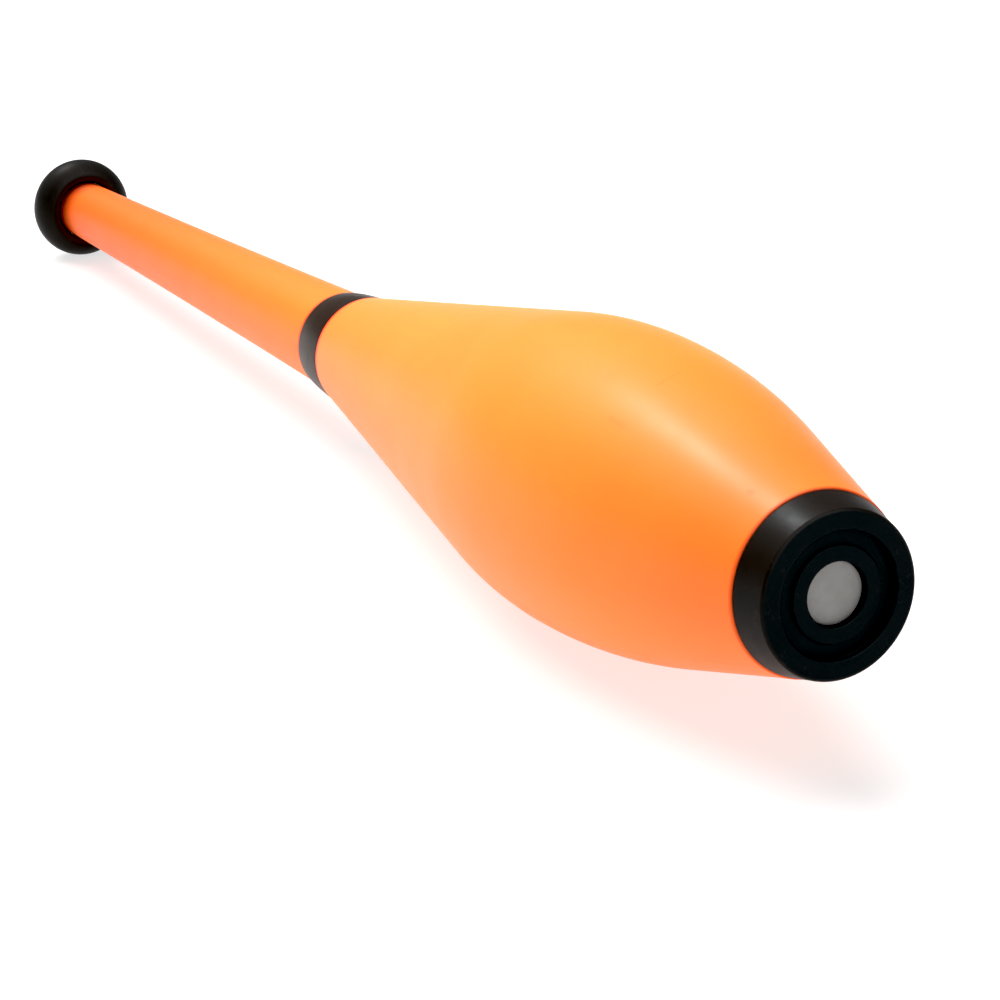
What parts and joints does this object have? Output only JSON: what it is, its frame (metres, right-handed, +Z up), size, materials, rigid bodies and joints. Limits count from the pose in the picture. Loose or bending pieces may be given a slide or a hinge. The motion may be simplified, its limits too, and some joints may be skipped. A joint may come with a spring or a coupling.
{
  "type": "juggling club",
  "caption": "Slim juggling club lying on its side: hollow tapered bulb, smooth handle, dark ring, bumper cap and soft round knob on a wooden dowel.",
  "frame": {"origin": "centre of the footprint on the table, at the height of the table", "axes": "+Z up; the club lies along X with its cap towards +X, and its axis leans 3.5 degrees down towards the knob because it rests on its belly and its knob; XZ is its plane of symmetry"},
  "size_m": [0.5187, 0.082, 0.0826],
  "materials": {
    "bulb_plastic": "satin",
    "handle_plastic": "satin",
    "ring_rubber": "satin",
    "cap_rubber": "satin",
    "knob_rubber": "matte",
    "label_plastic": "satin",
    "inner_plastic": "matte",
    "dowel_wood": "matte",
    "fastener_steel": "satin"
  },
  "bodies": {
    "root": {"bulb_shell": "bulb_plastic", "handle_sleeve": "handle_plastic", "neck_ring": "ring_rubber", "top_cap": "cap_rubber", "label_disc": "label_plastic", "knob": "knob_rubber", "dowel": "dowel_wood", "top_plug": "inner_plastic", "top_washer": "fastener_steel", "top_screw": "fastener_steel", "neck_bush": "inner_plastic", "neck_nails": "fastener_steel", "front_spacer": "inner_plastic", "middle_spacer": "inner_plastic", "rear_spacer": "inner_plastic", "knob_core": "inner_plastic", "knob_washer": "fastener_steel", "knob_screw": "fastener_steel", "knob_plug": "knob_rubber"}
  },
  "joints": []
}
